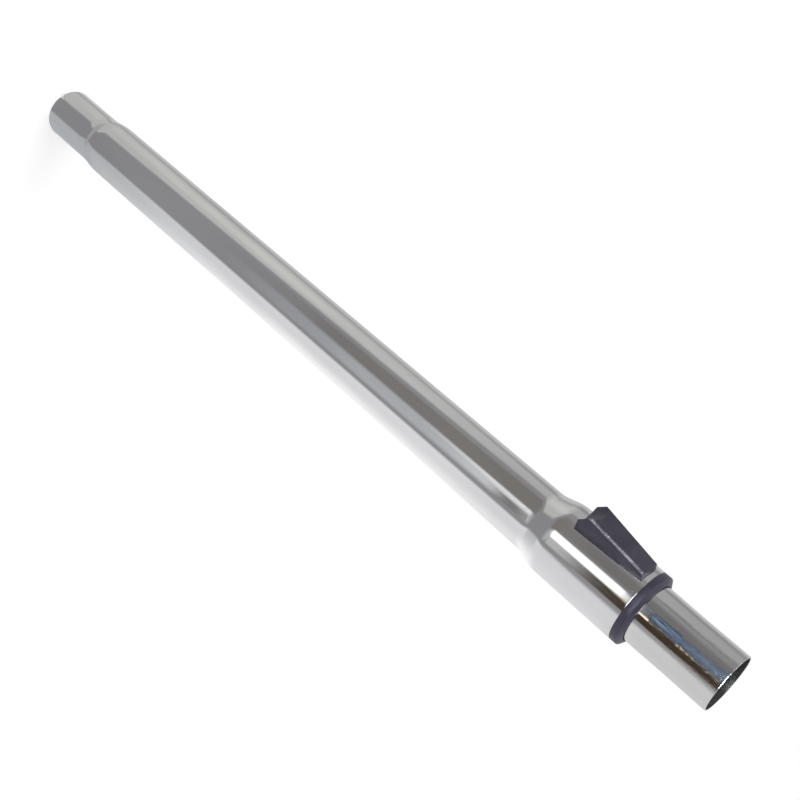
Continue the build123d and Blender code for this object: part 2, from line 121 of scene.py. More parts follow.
class Graph:
    """Nodes of one material or of the world, with short calls that add and join them."""

    def __init__(self, tree: bpy.types.NodeTree) -> None:
        """Empties the tree."""
        tree.nodes.clear()
        self.tree = tree

    def add(self, kind: str, sockets: dict[Any, Any] | None = None, **settings: Any) -> bpy.types.Node:
        """Adds a node.

        Args:
            kind: The node's type.
            sockets: A value, or an output socket to join, for each input by name or number.
            **settings: Values of the node's own properties.

        Returns:
            The new node.
        """
        node = self.tree.nodes.new(kind)
        for name, value in settings.items():
            setattr(node, name, value)
        for key, value in (sockets or {}).items():
            if isinstance(value, bpy.types.NodeSocket):
                self.tree.links.new(value, node.inputs[key])
            else:
                node.inputs[key].default_value = value
        return node

    def places(self, stretch: Stretch = (1, 1, 1)) -> bpy.types.NodeSocket:
        """Gives object coordinates, multiplied by stretch."""
        source = self.add("ShaderNodeTexCoord").outputs["Object"]
        return self.add("ShaderNodeMapping", {"Vector": source, "Scale": stretch}).outputs["Vector"]

    def noise(self, where: bpy.types.NodeSocket, scale: float, detail: float) -> bpy.types.NodeSocket:
        """Gives noise at the given places, about 0.5 on average."""
        sockets = {"Vector": where, "Scale": scale, "Detail": detail}
        return self.add("ShaderNodeTexNoise", sockets).outputs["Fac"]

    def pattern(self, pattern: Pattern) -> bpy.types.NodeSocket:
        """Gives a pattern's value all over the surface."""
        return self.noise(self.places(pattern.stretch), pattern.scale, pattern.detail)

    def calculate(self, operation: str, first: Any, second: Any = 0.0) -> bpy.types.NodeSocket:
        """Gives the result of a sum on two values."""
        return self.add("ShaderNodeMath", {0: first, 1: second}, operation=operation).outputs[0]

    def times(self, first: Any, second: Any) -> bpy.types.NodeSocket:
        """Gives the product of two values."""
        return self.calculate("MULTIPLY", first, second)

    def remap(
        self, value: Any, source: Range, target: Range, course: str = "SMOOTHSTEP"
    ) -> bpy.types.NodeSocket:
        """Gives a value carried from one range to another, and held at its ends.

        Args:
            value: The socket to read.
            source: The value's low and high end.
            target: What these two ends become.
            course: Blender's name for the course between them.

        Returns:
            The socket of the result.
        """
        sockets = {0: value, 1: source[0], 2: source[1], 3: target[0], 4: target[1]}
        node = self.add("ShaderNodeMapRange", sockets, interpolation_type=course)
        return node.outputs[0]

    def blend(self, share: Any, first: Any, second: Any) -> bpy.types.NodeSocket:
        """Gives a colour between two colours.

        Args:
            share: How much of the second colour there is, from 0 to 1.
            first: A colour or a colour socket.
            second: A colour or a colour socket.

        Returns:
            The socket of the mixed colour.
        """
        colours = [(*c, 1.0) if isinstance(c, tuple) else c for c in (first, second)]
        sockets = {MIX_SHARE: share, MIX_FIRST: colours[0], MIX_SECOND: colours[1]}
        return self.add("ShaderNodeMix", sockets, data_type="RGBA").outputs[MIX_RESULT]

    def bump(self, height: Any, depth: float, under: Any = None) -> bpy.types.NodeSocket:
        """Gives the normal of a surface raised by height times depth.

        Args:
            height: A pattern from 0 to 1.
            depth: How far the pattern's 1 stands above its 0.
            under: The normal of a coarser relief below this one, if any.

        Returns:
            The socket of the new normal.
        """
        sockets = {"Height": height, "Distance": depth, "Strength": 1.0}
        if under is not None:
            sockets["Normal"] = under
        return self.add("ShaderNodeBump", sockets).outputs["Normal"]

    def surface(self, sockets: dict[str, Any]) -> None:
        """Ends a material with a principled shader."""
        shader = self.add("ShaderNodeBsdfPrincipled", sockets)
        self.add("ShaderNodeOutputMaterial", {"Surface": shader.outputs[0]})


def new_material(name: str) -> tuple[bpy.types.Material, Graph]:
    """Makes an empty material.

    Args:
        name: The material's name.

    Returns:
        The material and its empty graph.
    """
    material = bpy.data.materials.new(name)
    material.use_nodes = True
    return material, Graph(material.node_tree)


@dataclass(frozen=True)
class Chrome:
    """Bright chrome plate on drawn steel tube, with hair scratches along the tube."""

    name: str
    clean: Colour = (0.93, 0.93, 0.935)
    hazy: Colour = (0.85, 0.85, 0.86)
    smooth: float = 0.035
    wear_and_glint: float = 0.09
    haze: Pattern = Pattern(60, 4, (1, 1, 0.2))
    haze_range: Range = (0.35, 0.7)
    streaks: Pattern = Pattern(1400, 3, (1, 1, 0.02))
    wear_range: Range = (0.15, 0.4)
    scratch_depth: float = 0.002 * MM
    waves: Pattern = Pattern(45, 1, (1, 1, 0.25))
    wave_depth: float = 0.012 * MM
    scuffs: Pattern = Pattern(1300, 3, (1, 1, 0.4))
    scuff_depth: float = 0.09 * MM
    scuff_start: float = 0.0
    scuff_end: float = 0.0

    def relief(self, graph: Graph, streaks: bpy.types.NodeSocket) -> bpy.types.NodeSocket:
        """Gives the plate's relief: slow waves, scratches, and scuffs that grow with the height.

        Args:
            graph: The material's graph.
            streaks: Value of the scratches' pattern.

        Returns:
            The socket of the normal.
        """
        waves = graph.bump(graph.pattern(self.waves), self.wave_depth)
        relief = graph.bump(streaks, self.scratch_depth, waves)
        if self.scuff_end == self.scuff_start:
            return relief
        height = graph.add("ShaderNodeSeparateXYZ", {0: graph.places()}).outputs["Z"]
        dense = graph.remap(height, (self.scuff_start, self.scuff_end), (0, 1))
        return graph.bump(graph.times(graph.pattern(self.scuffs), dense), self.scuff_depth, relief)

    def make(self) -> bpy.types.Material:
        """Makes the material.

        Returns:
            The finished material.
        """
        material, graph = new_material(self.name)
        haze = graph.pattern(self.haze)
        streaks = graph.pattern(self.streaks)
        wear = graph.times(haze, streaks)
        hazy = graph.remap(haze, self.haze_range, (0, 1))
        graph.surface(
            {
                "Base Color": graph.blend(hazy, self.clean, self.hazy),
                "Metallic": 1.0,
                "Roughness": graph.remap(wear, self.wear_range, (self.smooth, self.wear_and_glint)),
                "Normal": self.relief(graph, streaks),
            }
        )
        return material


@dataclass(frozen=True)
class BareBore:
    """Inside of a steel tube, dull and stained, and dark enough that its colour also paints the shade inside
    the tube.
    """

    name: str
    # Both colours are very dark: painted shade of the bore, on top of dull stained steel.
    pale: Colour = (0.1, 0.1, 0.1)
    dark: Colour = (0.06, 0.06, 0.063)
    stains: Pattern = Pattern(150, 4, (1, 1, 0.2))
    stain_range: Range = (0.3, 0.7)
    roughness: Range = (0.3, 0.45)
    metal: float = 0.2

    def make(self) -> bpy.types.Material:
        """Makes the material.

        Returns:
            The finished material.
        """
        material, graph = new_material(self.name)
        stains = graph.pattern(self.stains)
        graph.surface(
            {
                "Base Color": graph.blend(stains, self.dark, self.pale),
                "Metallic": self.metal,
                "Roughness": graph.remap(stains, self.stain_range, self.roughness),
            }
        )
        return material


@dataclass(frozen=True)
class MouldedPlastic:
    """Moulded plastic with a fine spark-eroded grain."""

    name: str
    base: Colour
    speckle_colour: Colour
    gloss: float = 0.34
    matt: float = 0.5
    shine: float = 0.5
    grain: Pattern = Pattern(2000, 3)
    grain_depth: float = 0.03 * MM
    clouds: Pattern = Pattern(120, 3)
    cloud_range: Range = (0.3, 0.7)
    speckle_range: Range = (0.2, 0.4)

    def make(self) -> bpy.types.Material:
        """Makes the material.

        Returns:
            The finished material.
        """
        material, graph = new_material(self.name)
        grain = graph.pattern(self.grain)
        clouds = graph.pattern(self.clouds)
        speckle = graph.remap(graph.times(grain, clouds), self.speckle_range, (0, 1))
        graph.surface(
            {
                "Base Color": graph.blend(speckle, self.base, self.speckle_colour),
                "Roughness": graph.remap(clouds, self.cloud_range, (self.gloss, self.matt)),
                "Specular IOR Level": self.shine,
                "Normal": graph.bump(grain, self.grain_depth),
            }
        )
        return material


@dataclass(frozen=True)
class Felt:
    """Pressed wool felt."""

    name: str = "pressed_felt"
    dark: Colour = (0.2, 0.2, 0.19)
    light: Colour = (0.4, 0.4, 0.385)
    fibres: Pattern = Pattern(2600, 6)
    fibre_depth: float = 0.15 * MM
    roughness: float = 0.95
    fuzz: float = 0.4

    def make(self) -> bpy.types.Material:
        """Makes the material.

        Returns:
            The finished material.
        """
        material, graph = new_material(self.name)
        fibres = graph.pattern(self.fibres)
        graph.surface(
            {
                "Base Color": graph.blend(fibres, self.dark, self.light),
                "Roughness": self.roughness,
                "Sheen Weight": self.fuzz,
                "Normal": graph.bump(fibres, self.fibre_depth),
            }
        )
        return material


@dataclass(frozen=True)
class HardSteel:
    """Plain drawn or ground steel."""

    name: str = "hard_steel"
    bright: Colour = (0.62, 0.62, 0.61)
    dull: Colour = (0.42, 0.42, 0.42)
    lines: Pattern = Pattern(5000, 3, (0.05, 1, 1))
    line_depth: float = 0.004 * MM
    line_range: Range = (0.3, 0.7)
    roughness: Range = (0.22, 0.38)

    def make(self) -> bpy.types.Material:
        """Makes the material.

        Returns:
            The finished material.
        """
        material, graph = new_material(self.name)
        lines = graph.pattern(self.lines)
        graph.surface(
            {
                "Base Color": graph.blend(lines, self.dull, self.bright),
                "Metallic": 1.0,
                "Roughness": graph.remap(lines, self.line_range, self.roughness),
                "Normal": graph.bump(lines, self.line_depth),
            }
        )
        return material


def s_curve(start: Point, end: Point, count: int) -> list[Point]:
    """Gives two equal arcs that leave start and reach end parallel to the wand.

    Args:
        start: Radius and height of the first end.
        end: Radius and height of the other end.
        count: Steps along each arc.

    Returns:
        The arcs' points, as radius and height, without their two ends.
    """
    rise = (end[0] - start[0]) / 2
    run = (end[1] - start[1]) / 2
    bend = (run**2 + rise**2) / (2 * abs(rise))
    sweep = asin(run / bend)
    side = bend if rise > 0 else -bend
    first, second = [], []
    for step in range(1, count + 1):
        angle = sweep * step / count
        first.append((start[0] + side * (1 - cos(angle)), start[1] + bend * sin(angle)))
        second.append((end[0] - side * (1 - cos(angle)), end[1] - bend * sin(angle)))
    return first + second[-2::-1]


def rounded_corner(before: Point, corner: Point, after: Point, radius: float, count: int) -> list[Point]:
    """Gives the arc that rounds one corner of a profile.

    Args:
        before: The point before the corner.
        corner: The corner, which the arc cuts off.
        after: The point after the corner.
        radius: The arc's radius.
        count: Steps along the arc.

    Returns:
        The arc's points, with both of its ends.
    """
    middle = Vector(corner)
    back, ahead = (Vector(before) - middle).normalized(), (Vector(after) - middle).normalized()
    half = back.angle(ahead) / 2
    centre = middle + (back + ahead).normalized() * radius / sin(half)
    first = (middle + back * radius / tan(half) - centre).normalized()
    last = (middle + ahead * radius / tan(half) - centre).normalized()
    return [tuple(centre + first.slerp(last, step / count) * radius) for step in range(count + 1)]


def hold_ends(profile: list[Point], gap: float) -> list[Point]:
    """Adds a point near each end of every long run, so that smooth shading leaves the run straight.

    Args:
        profile: The profile's points, as radius and height.
        gap: How far from the run's end the new point lies.

    Returns:
        The profile with the added points.
    """
    held = [profile[0]]
    for start, end in zip(profile, profile[1:]):
        length = hypot(end[0] - start[0], end[1] - start[1])
        if length > LONG_RUN * gap:
            for share in (gap / length, 1 - gap / length):
                held.append(tuple(a + (b - a) * share for a, b in zip(start, end)))
        held.append(end)
    return held


def lathe(profile: list[Point], steps: int, closed: bool = False) -> bmesh.types.BMesh:
    """Spins a profile a full turn about the wand's axis.

    Args:
        profile: The profile's points, as radius and height.
        steps: Faces round the turn.
        closed: True where the last point joins the first.

    Returns:
        The spun shape, with its faces towards the outside.
    """
    shape = bmesh.new()
    corners = [shape.verts.new((0, -radius, height)) for radius, height in profile]
    pairs = list(zip(corners, corners[1:]))
    if closed:
        pairs.append((corners[-1], corners[0]))
    edges = [shape.edges.new(pair) for pair in pairs]
    bmesh.ops.spin(shape, geom=corners + edges, axis=AXIS, angle=tau, steps=steps, use_merge=True)
    bmesh.ops.remove_doubles(shape, verts=shape.verts[:], dist=MERGE_GAP)
    bmesh.ops.recalc_face_normals(shape, faces=shape.faces[:])
    outermost = max(shape.faces, key=lambda f: f.calc_center_median().xy.length)
    if outermost.normal.xy.dot(outermost.calc_center_median().xy) < 0:
        bmesh.ops.reverse_faces(shape, faces=shape.faces[:])
    return shape


def around(centre: Point, radius: float, count: int, start: float = 0.0, sweep: float = tau) -> list[Point]:
    """Gives points along an arc.

    Args:
        centre: Middle of the arc.
        radius: The arc's radius.
        count: Number of steps.
        start: Angle of the first point.
        sweep: Angle from the first point to where the last step ends.

    Returns:
        One point for each step.
    """
    angles = [start + sweep * step / count for step in range(count)]
    return [(centre[0] + radius * cos(a), centre[1] + radius * sin(a)) for a in angles]


def rounded_window(width: float, low: float, high: float, corner: float) -> list[Point]:
    """Gives the outline of a rectangle with round corners.

    Args:
        width: Its width.
        low: Height of its lower side.
        high: Height of its upper side.
        corner: Radius of its corners.

    Returns:
        The outline, anticlockwise, as places across and up.
    """
    outline: list[Point] = []
    half = width / 2 - corner
    middles = ((half, high - corner), (-half, high - corner), (-half, low + corner), (half, low + corner))
    for quarter, middle in enumerate(middles):
        sweep = pi / 2 * (CORNER_STEPS + 1) / CORNER_STEPS
        outline += around(middle, corner, CORNER_STEPS + 1, quarter * pi / 2, sweep)
    return outline


def cut_across(
    shape: bmesh.types.BMesh, faces: list[bmesh.types.BMFace], place: Vector, outwards: Vector
) -> None:
    """Cuts these faces where a plane meets them.

    Args:
        shape: The shape that the faces belong to.
        faces: The faces.
        place: A point of the plane.
        outwards: The plane's direction.
    """
    edges = {edge for face in faces for edge in face.edges}
    verts = {vert for face in faces for vert in face.verts}
    geometry = faces + list(edges) + list(verts)
    bmesh.ops.bisect_plane(shape, geom=geometry, dist=CUT_GAP, plane_co=place, plane_no=outwards)


def punch(
    shape: bmesh.types.BMesh, outline: list[Point], facing: Vector, radius: float, border: float = 1.0 * MM
) -> None:
    """Cuts a convex opening in one side of a tube's single skin.

    Args:
        shape: The skin.
        outline: Corners of the opening, anticlockwise, as places across and up.
        facing: Direction in which the opening faces.
        radius: The skin's radius there.
        border: How far above and below the opening the skin is put back on its radius.
    """
    across = AXIS.cross(facing)
    reach_across = max(abs(u) for u, _ in outline)
    low, high = min(v for _, v in outline), max(v for _, v in outline)

    def is_near(face: bmesh.types.BMFace) -> bool:
        """Tells whether a face reaches the opening.

        Args:
            face: A face of the skin.

        Returns:
            True where the face meets the opening's box.
        """
        places = [(v.co.dot(across), v.co.z) for v in face.verts]
        sideways = min(u for u, _ in places) < reach_across and max(u for u, _ in places) > -reach_across
        upwards = min(v for _, v in places) < high and max(v for _, v in places) > low
        return sideways and upwards and face.calc_center_median().dot(facing) > 0

    walls = []
    for (u0, v0), (u1, v1) in zip(outline, outline[1:] + outline[:1]):
        outwards = (across * (v1 - v0) - AXIS * (u1 - u0)).normalized()
        walls.append((across * u0 + AXIS * v0, outwards))

    def inside(face: bmesh.types.BMFace, count: int) -> bool:
        """Tells whether a face lies inside the first walls."""
        centre = face.calc_center_median()
        return all((centre - place).dot(outwards) < 0 for place, outwards in walls[:count])

    for count, (place, outwards) in enumerate(walls):
        cut_across(shape, [f for f in shape.faces if is_near(f) and inside(f, count)], place, outwards)
    cut = [f for f in shape.faces if is_near(f) and inside(f, len(walls))]
    bmesh.ops.delete(shape, geom=cut, context="FACES")
    for vert in shape.verts:
        nearby = abs(vert.co.dot(across)) < 2 * reach_across and low - border < vert.co.z < high + border
        if nearby and vert.co.dot(facing) > 0:
            vert.co.xy *= radius / vert.co.xy.length


def thicken(shape: bmesh.types.BMesh, wall: float) -> None:
    """Gives a skin a wall on its inner side."""
    bmesh.ops.solidify(shape, geom=shape.faces[:], thickness=wall)


def mark_bore(shape: bmesh.types.BMesh) -> None:
    """Gives material index 1 to the faces that look at the wand's axis.

    Args:
        shape: A tube with its wall.
    """
    for face in shape.faces:
        outwards = face.calc_center_median().xy.normalized()
        face.material_index = int(face.normal.xy.dot(outwards) < INWARDS)


def soften_rims(
    shape: bmesh.types.BMesh, heights: list[float], size: float, crease: float = 60.0, segments: int = 3
) -> None:
    """Bevels the edges of a tube's ends.

    Args:
        shape: The tube with its wall.
        heights: Heights of its ends.
        size: Width of the bevel to each side of an edge.
        crease: Angle in degrees from which an edge is bevelled.
        segments: Faces across the bevel.
    """
    rims = [
        edge
        for edge in shape.edges
        if len(edge.link_faces) == 2
        and edge.calc_face_angle(0) > radians(crease)
        and any(all(abs(v.co.z - height) < LEVEL_GAP for v in edge.verts) for height in heights)
    ]
    bmesh.ops.bevel(
        shape,
        geom=rims,
        offset=size,
        segments=segments,
        profile=0.5,
        affect="EDGES",
        material=-1,
        clamp_overlap=True,
    )


def publish(
    shape: bmesh.types.BMesh,
    name: str,
    material: bpy.types.Material,
    body: Body,
    node: str,
    crease: float = 35.0,
    second: bpy.types.Material | None = None,
) -> bpy.types.Object:
    """Turns a shape into a piece of the wand.

    Args:
        shape: The finished shape, which is freed.
        name: The piece's name.
        material: Its finish.
        body: The body it moves with.
        node: The solid it stands for.
        crease: Angle in degrees from which an edge stays sharp.
        second: Finish of the faces with material index 1, if any.

    Returns:
        The piece.
    """
    mesh = bpy.data.meshes.new(name)
    shape.to_mesh(mesh)
    shape.free()
    mesh.materials.append(material)
    if second is not None:
        mesh.materials.append(second)
    mesh.shade_smooth()
    mesh.set_sharp_from_angle(angle=radians(crease))
    piece = bpy.data.objects.new(name, mesh)
    bpy.context.scene.collection.objects.link(piece)
    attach(piece, body.value)
    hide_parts(node)
    LOG.info("%s: %d faces, rides on %s", name, len(mesh.polygons), body.value)
    return piece


@dataclass
class OuterTube:
    """Outer tube: swaged hose cuff, plain tube, and the housing widened round the latch."""

    wall: float = 0.7 * MM
    cuff_radius: float = 16.0 * MM
    cuff_length: float = 35.0 * MM
    flare_length: float = 17.0 * MM
    tube_radius: float = 17.5 * MM
    housing_length: float = 51.0 * MM
    shoulder_length: float = 11.0 * MM
    shoulder_bend: float = 18.0 * MM
    window_width: float = 10.0 * MM
    window_corner: float = 1.2 * MM
    window_gap: float = 0.3 * MM
    notch_size: float = 2.7 * MM
    notch_angle: float = 25.0
    rim_rounding: float = 0.1 * MM
    hold: float = 0.25 * MM
    steps: int = 192
    flare_steps: int = 14
    bend_steps: int = 12
    chrome: Chrome = Chrome("outer_tube_chrome")
    bore: BareBore = BareBore("outer_tube_bore")
    rear: float = field(init=False)
    front: float = field(init=False)
    housing_radius: float = field(init=False)

    def __post_init__(self) -> None:
        """Reads the ends of the tube from the frame."""
        low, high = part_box("outer_tube")
        self.rear = low.z
        self.front = high.z
        self.housing_radius = high.x

    def profile(self) -> list[Point]:
        """Gives the outside of the tube.

        Returns:
            The points from the rim of the cuff to the collar, as radius and height.
        """
        flare_start = (self.cuff_radius, self.rear + self.cuff_length)
        flare_end = (self.tube_radius, flare_start[1] + self.flare_length)
        shoulder_end = (self.housing_radius, self.front - self.housing_length)
        shoulder_start = (self.tube_radius, shoulder_end[1] - self.shoulder_length)
        rim = (self.housing_radius, self.front)
        bend, count = self.shoulder_bend, self.bend_steps
        points = [(self.cuff_radius, self.rear), flare_start]
        points += s_curve(flare_start, flare_end, self.flare_steps)
        points.append(flare_end)
        points += rounded_corner(flare_end, shoulder_start, shoulder_end, bend, count)
        points += rounded_corner(shoulder_start, shoulder_end, rim, bend, count)
        points.append(rim)
        return points

    def shape(self) -> bmesh.types.BMesh:
        """Builds the tube, with its latch window and key notch.

        Returns:
            The finished shape.
        """
        shape = lathe(hold_ends(self.profile(), self.hold), self.steps)
        slider_low, slider_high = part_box("latch_slider")
        low, high = slider_low.z + self.window_gap, slider_high.z - self.window_gap
        window = rounded_window(self.window_width, low, high, self.window_corner)
        punch(shape, window, BUTTON_SIDE, self.housing_radius)
        facing = Matrix.Rotation(radians(self.notch_angle), 3, AXIS) @ BUTTON_SIDE
        half, top, below = self.notch_size / 2, self.rear + self.notch_size, self.rear - self.notch_size
        punch(shape, [(half, below), (half, top), (-half, top), (-half, below)], facing, self.cuff_radius)
        thicken(shape, self.wall)
        soften_rims(shape, [self.rear, self.front], self.rim_rounding)
        mark_bore(shape)
        return shape

    def build(self) -> bpy.types.Object:
        """Builds and dresses the tube."""
        return publish(
            self.shape(),
            "chromed_outer_tube",
            self.chrome.make(),
            Body.OUTER,
            "outer_tube",
            second=self.bore.make(),
        )


@dataclass
class InnerTube:
    """Sliding tube: pressed detents, a keyway, a neck for its bearing and a spigot at its mouth."""

    wall: float = 0.7 * MM
    spigot_radius: float = 16.0 * MM
    spigot_length: float = 26.0 * MM
    cone_length: float = 16.0 * MM
    neck_radius: float = 15.5 * MM
    neck_cone: float = 2.0 * MM
    detent_pitch: float = 20.0 * MM
    detent_gap: float = 0.3 * MM
    detent_end: float = 0.6 * MM
    detent_end_rise: float = 1.2 * MM
    detent_lip: float = 0.25 * MM
    detent_steepest: float = 0.98
    detent_rows: int = 16
    keyway_width: float = 5.0 * MM
    keyway_depth: float = 0.9 * MM
    keyway_edge: float = 0.3 * MM
    keyway_end: float = 487.9 * MM
    keyway_run_out: float = 1.5 * MM
    keyway_rows: int = 4
    cut_reach: float = 1.0 * MM
    pip_hole_radius: float = 2.0 * MM
    pip_hole_steps: int = 20
    rim_rounding: float = 0.08 * MM
    hold: float = 0.25 * MM
    steps: int = 192
    scratch_depth: float = 0.003 * MM
    bore: BareBore = BareBore("inner_tube_bore")
    rear: float = field(init=False)
    mouth: float = field(init=False)
    radius: float = field(init=False)
    glide_middle: float = field(init=False)
    neck_end: float = field(init=False)
    roller_centre: Vector = field(init=False)
    detent_radius: float = field(init=False)
    detent_half_width: float = field(init=False)
    detent_count: int = field(init=False)

    def __post_init__(self) -> None:
        """Reads the tube's ends, its bearing and its roller from the frame."""
        low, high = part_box("inner_tube")
        self.rear = low.z
        self.mouth = high.z
        self.radius = high.x
        glide_low, glide_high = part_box("glide_shell_right")
        self.glide_middle = (glide_low.z + glide_high.z) / 2
        self.neck_end = glide_high.z
        roller_low, roller_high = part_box("locking_roller")
        self.roller_centre = (roller_low + roller_high) / 2
        self.detent_radius = (roller_high.z - roller_low.z) / 2 + self.detent_gap
        self.detent_half_width = (roller_high.x - roller_low.x) / 2 + self.detent_gap
        slide = next(joint for joint in frame["joints"] if joint["name"] == "inner_slide")
        self.detent_count = round(slide["range_m"][1] / self.detent_pitch) + 1

    def detent_heights(self) -> list[float]:
        """Gives the middle of each detent."""
        return [self.roller_centre.z - step * self.detent_pitch for step in range(self.detent_count)]

    def profile(self) -> list[Point]:
        """Gives the outside of the tube, from its neck to its mouth, as radius and height."""
        spigot_start = self.mouth - self.spigot_length
        return [
            (self.neck_radius, self.rear),
            (self.neck_radius, self.neck_end),
            (self.radius, self.neck_end + self.neck_cone),
            (self.radius, spigot_start - self.cone_length),
            (self.spigot_radius, spigot_start),
            (self.spigot_radius, self.mouth),
        ]

    def slice_side(
        self, shape: bmesh.types.BMesh, facing: Vector, reach: float, heights: list[float]
    ) -> None:
        """Cuts one side of the tube across, so that it can be pressed in.

        Args:
            shape: The tube's skin.
            facing: Direction of that side.
            reach: How far the cuts reach to each side.
            heights: Places of the cuts.
        """
        across = AXIS.cross(facing)
        for height in heights:
            faces = [
                face
                for face in shape.faces
                if face.calc_center_median().dot(facing) > 0
                and abs(face.calc_center_median().dot(across)) < reach
                and min(v.co.z for v in face.verts) < height < max(v.co.z for v in face.verts)
            ]
            cut_across(shape, faces, AXIS * height, AXIS)

    def press_detents(self, shape: bmesh.types.BMesh) -> None:
        """Presses the roller's detents into the button side.

        Args:
            shape: The tube's skin.
        """
        depth = abs(self.roller_centre.y)
        reach = self.detent_radius + self.detent_end
        rows = [reach * (2 * row / self.detent_rows - 1) for row in range(self.detent_rows + 1)]
        heights = [middle + row for middle in self.detent_heights() for row in rows]
        self.slice_side(shape, BUTTON_SIDE, self.detent_half_width + 2 * self.detent_end, heights)
        for middle in self.detent_heights():
            for vert in shape.verts:
                offset = abs(vert.co.z - middle)
                if offset > reach or vert.co.y > 0:
                    continue
                beyond = max(0.0, offset - self.detent_radius * self.detent_steepest)
                sunk = sqrt(max(0.0, self.detent_radius**2 - min(offset, self.detent_radius) ** 2))
                sideways = max(0.0, abs(vert.co.x) - self.detent_half_width + self.detent_end)
                rise = self.detent_end_rise * (sideways / self.detent_end) ** 2 + beyond
                trough = depth - sunk + rise
                skin = -vert.co.y
                gap = max(0.0, self.detent_lip - abs(skin - trough)) / self.detent_lip
                vert.co.y = -(min(skin, trough) - gap**2 * self.detent_lip / 4)

    def press_keyway(self, shape: bmesh.types.BMesh) -> None:
        """Presses the keyway into the side away from the button.

        Args:
            shape: The tube's skin.
        """
        reach = self.keyway_width / 2
        start = self.keyway_end - self.keyway_run_out
        rows = self.keyway_rows
        heights = [start + self.keyway_run_out * row / rows for row in range(rows + 1)]
        heights += [self.neck_end + self.neck_cone * row / rows for row in range(1, rows)]
        self.slice_side(shape, -BUTTON_SIDE, reach + self.cut_reach, heights)
        floor = self.radius - self.keyway_depth
        for vert in shape.verts:
            sideways = abs(vert.co.x) - reach
            if vert.co.y < 0 or sideways > self.keyway_edge or vert.co.z > self.keyway_end:
                continue
            rise = min(1.0, max(0.0, (vert.co.z - start) / self.keyway_run_out))
            edge = min(1.0, max(0.0, (sideways + self.keyway_edge) / (2 * self.keyway_edge)))
            lift = self.keyway_depth * max(rise, edge)
            vert.co.y = min(vert.co.y, floor + lift)

    def shape(self) -> bmesh.types.BMesh:
        """Builds the tube, with its detents, keyway and the two holes of its bearing.

        Returns:
            The finished shape.
        """
        shape = lathe(hold_ends(self.profile(), self.hold), self.steps)
        self.press_detents(shape)
        self.press_keyway(shape)
        hole = around((0, self.glide_middle), self.pip_hole_radius, self.pip_hole_steps)
        for facing in (RIGHT_SIDE, -RIGHT_SIDE):
            punch(shape, hole, facing, self.neck_radius)
        bmesh.ops.recalc_face_normals(shape, faces=shape.faces[:])
        thicken(shape, self.wall)
        soften_rims(shape, [self.rear, self.mouth], self.rim_rounding)
        mark_bore(shape)
        return shape

    def build(self) -> bpy.types.Object:
        """Builds and dresses the tube."""
        chrome = Chrome(
            "inner_tube_chrome",
            scratch_depth=self.scratch_depth,
            scuff_start=self.mouth - self.spigot_length - self.cone_length,
            scuff_end=self.mouth,
        )
        return publish(
            self.shape(),
            "chromed_inner_tube",
            chrome.make(),
            Body.INNER,
            "inner_tube",
            second=self.bore.make(),
        )


@dataclass
class Collar:
    """Moulded ring that closes the housing, with a bevelled nose and a lip over the wiper."""

    band_length: float = 3.7 * MM
    lip_land: float = 0.9 * MM
    lip_gap: float = 0.4 * MM
    socket_radius: float = 18.6 * MM
    socket_end: float = 496.2 * MM
    groove_start: float = 492.6 * MM
    groove_end: float = 493.7 * MM
    groove_depth: float = 0.3 * MM
    edge_rounding: float = 0.3 * MM
    fine_rounding: float = 0.12 * MM
    rounding_steps: int = 4
    crease: float = 25.0
    steps: int = 192
    plastic: MouldedPlastic = MouldedPlastic(
        "collar_plastic", (0.04, 0.035, 0.062), (0.055, 0.05, 0.08), gloss=0.3
    )

    def shape(self) -> bmesh.types.BMesh:
        """Builds the ring.

        Returns:
            The finished shape.
        """
        low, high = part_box("collar_ring")
        lip_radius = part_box("inner_tube")[1].x + self.lip_gap
        profile = [
            (high.x, low.z),
            (high.x, low.z + self.band_length),
            (lip_radius + self.lip_land, high.z),
            (lip_radius, high.z),
            (lip_radius, self.socket_end),
            (self.socket_radius, self.socket_end),
            (self.socket_radius, self.groove_end),
            (self.socket_radius + self.groove_depth, self.groove_end),
            (self.socket_radius, self.groove_start),
            (self.socket_radius, low.z),
        ]
        shape = lathe(profile, self.steps, closed=True)
        for size, outer in ((self.edge_rounding, True), (self.fine_rounding, False)):
            edges = [
                edge
                for edge in shape.edges
                if edge.calc_face_angle(0) > radians(self.crease)
                and (edge.verts[0].co.xy.length > high.x - LEVEL_GAP) == outer
                and abs(edge.verts[0].co.z - edge.verts[1].co.z) < MERGE_GAP
                and (outer or edge.verts[0].co.z > self.socket_end + LEVEL_GAP)
            ]
            bmesh.ops.bevel(
                shape,
                geom=edges,
                offset=size,
                segments=self.rounding_steps,
                profile=0.5,
                affect="EDGES",
                material=-1,
            )
        return shape

    def build(self) -> bpy.types.Object:
        """Builds and dresses the ring."""
        finish = self.plastic.make()
        return publish(
            self.shape(), "moulded_collar", finish, Body.OUTER, "collar_ring"
        )


